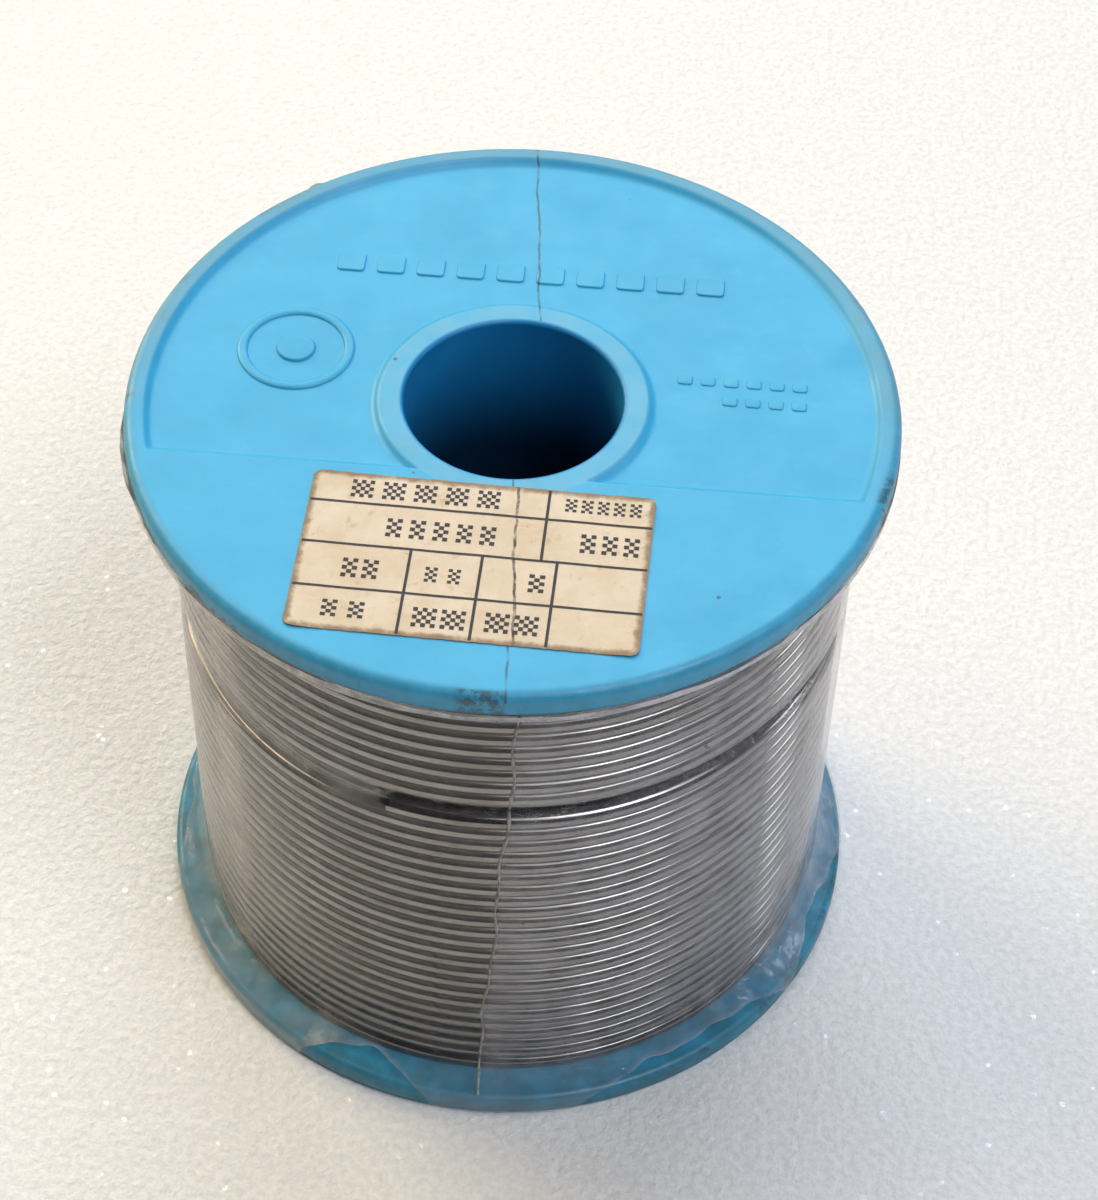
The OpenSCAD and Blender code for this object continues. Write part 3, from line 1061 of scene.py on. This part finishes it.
def build_film():
    a = np.arange(FILM_AROUND) * TAU / FILM_AROUND
    a = (a + math.pi) % TAU - math.pi
    t = np.linspace(0, 1, FILM_UP + 1)
    angle, t = np.meshgrid(a, t, indexing="ij")
    film = film_shape(angle, t)
    haze, grime = film_dirt(angle, film)
    verts = ring_path(angle, film.z, film.r).reshape(-1, 3)
    faces = turned_faces(FILM_AROUND, FILM_UP + 1)
    piece = add_mesh("film_sleeve", verts, faces, FILM, ["shrink_film"], sharp=80)
    for name, values in (("haze", haze), ("grime", grime)):
        layer = piece.data.attributes.new(name, "FLOAT", "POINT")
        layer.data.foreach_set("value", values.reshape(-1))


def seam_angle(z):
    """The seam wanders a little and leans to the left on its way down."""
    lean = math.radians(-90.3) + (z / SPOOL_H) * math.radians(7.6)
    return lean + np.radians(0.35) * np.sin(z * 0.31 + 0.6) + np.radians(0.22) * np.sin(z * 0.83)


def build_seam():
    """The ridge where the film is sealed."""
    z = np.linspace(3.2, SPOOL_H - FLANGE_T - 0.6, 260)
    angle = seam_angle(z)
    low, high = film_shape(angle[:1], np.array([0.0, 1.0])).z
    r = film_shape(angle, (z - low) / (high - low)).r
    path = ring_path(angle, z, r + 0.02)
    rng = np.random.default_rng(9)
    width = 0.11 + 0.03 * np.sin(z * 1.7) + 0.03 * np.sin(z * 4.1 + 1) + 0.02 * rng.standard_normal(len(z))
    verts, faces = tube(path, outward(angle), np.clip(width, 0.06, 0.20), 8)
    add_mesh("film_seam", verts, faces, SEAM, sharp=60)


# ---------------------------------------------------------------- floor, light and camera

def build_floor():
    half = 900.0 * MM
    verts = [(-half, -half, 0), (half, -half, 0), (half, half, 0), (-half, half, 0)]
    mesh = bpy.data.meshes.new("floor")
    mesh.from_pydata(verts, [], [(0, 1, 2, 3)])
    floor = bpy.data.objects.new("floor", mesh)
    mesh.materials.append(make_floor())
    bpy.context.scene.collection.objects.link(floor)


# Soft panels round the spool, in metres and watts: name, direction, size, power, color and first side
PANEL_DISTANCE = 1.0
PANEL_AIM = Vector((0, 0, 0.03))
PANELS = (
    ("ceiling_left", (-0.47, 0.26, 0.84), (0.28, 0.60), 2.7, (1.0, 0.81, 0.53), (1, 0, 0)),
    ("ceiling_back", (0.05, 0.45, 0.90), (0.5, 0.5), 2.7, (0.80, 0.85, 1.0), (1, 0, 0)),
    ("back_wall", (0.0, 0.82, 0.57), (0.8, 0.4), 3.6, (0.80, 0.89, 1.0), (1, 0, 0)),
    ("left_wall", (-0.71, 0.56, 0.44), (0.5, 0.4), 6.0, (1.0, 0.84, 0.56), (0, 1, 0)),
    ("front_window", (0.36, -0.37, 0.86), (0.80, 0.46), 2.4, (0.89, 0.92, 1.0), (0.72, 0.69, 0)),
    ("front_pane", (0.38, -0.345, 0.86), (0.36, 0.40), 3.4, (0.90, 0.92, 1.0), (0.67, 0.74, 0)),
    ("right_window", (0.94, 0.08, 0.34), (0.20, 0.22), 1.0, (0.86, 0.92, 1.0), (0, 1, 0)),
    ("left_window", (-0.97, -0.05, 0.26), (0.20, 0.12), 0.35, (1.0, 0.82, 0.60), (0, 1, 0)),
)


def area_light(name, direction, size, power, color, along):
    """A soft panel that faces the middle of the spool. along is the way its first side runs."""
    data = bpy.data.lights.new(name, "AREA")
    data.shape = "RECTANGLE"
    data.size, data.size_y = size
    data.energy = power
    data.color = color
    back = Vector(direction).normalized()
    side = (Vector(along) - back * back.dot(Vector(along))).normalized()
    place = Matrix((side, back.cross(side), back)).transposed().to_4x4()
    place.translation = back * PANEL_DISTANCE + PANEL_AIM
    lamp = bpy.data.objects.new(name, data)
    lamp.matrix_world = place
    bpy.context.scene.collection.objects.link(lamp)


def build_light():
    """A dim room: cool panels behind, in front and on the right, and warm ones on the left."""
    world = bpy.data.worlds.new("studio")
    bpy.context.scene.world = world
    world.use_nodes = True
    background = world.node_tree.nodes["Background"]
    background.inputs["Color"].default_value = (1.0, 0.97, 0.92, 1)
    background.inputs["Strength"].default_value = 0.02
    for panel in PANELS:
        area_light(*panel)


# The camera stands in front of the label and looks down: azimuth is from the -Y side
CAMERA_AZIMUTH = 3.94
CAMERA_ELEVATION = 48.66
CAMERA_DISTANCE = 0.2739
CAMERA_ROLL = 1.47
CAMERA_TARGET = (0.0035, 0.0, 0.0357)
CAMERA_LENS = 88.5


def build_camera():
    data = bpy.data.cameras.new("camera")
    data.lens = CAMERA_LENS
    data.sensor_width = 36
    data.clip_start, data.clip_end = 0.01, 20
    camera = bpy.data.objects.new("camera", data)
    elevation = math.radians(CAMERA_ELEVATION)
    back = Vector((0, -math.cos(elevation), math.sin(elevation)))
    right = Vector((1, 0, 0))
    up = back.cross(right)
    roll = Matrix.Rotation(math.radians(CAMERA_ROLL), 3, back)
    right, up = roll @ right, roll @ up
    place = Matrix((right, up, back)).transposed().to_4x4()
    place.translation = Vector(CAMERA_TARGET) + back * CAMERA_DISTANCE
    camera.matrix_world = Matrix.Rotation(math.radians(CAMERA_AZIMUTH), 4, "Z") @ place
    bpy.context.scene.collection.objects.link(camera)
    bpy.context.scene.camera = camera


def dress_hidden_layers():
    """The layers under the ones that show keep their CAD shape and get the solder's finish."""
    for name, node in frame["nodes"].items():
        if name.startswith("winding_layer_"):
            node.data.materials.clear()
            node.data.materials.append(SOLDER)


build_camera()
build_light()
build_floor()
dress_hidden_layers()
build_mouldings()
build_winding()
build_tail()
build_label()
build_print()
build_film()
build_seam()
bpy.context.scene.view_settings.view_transform = "Standard"
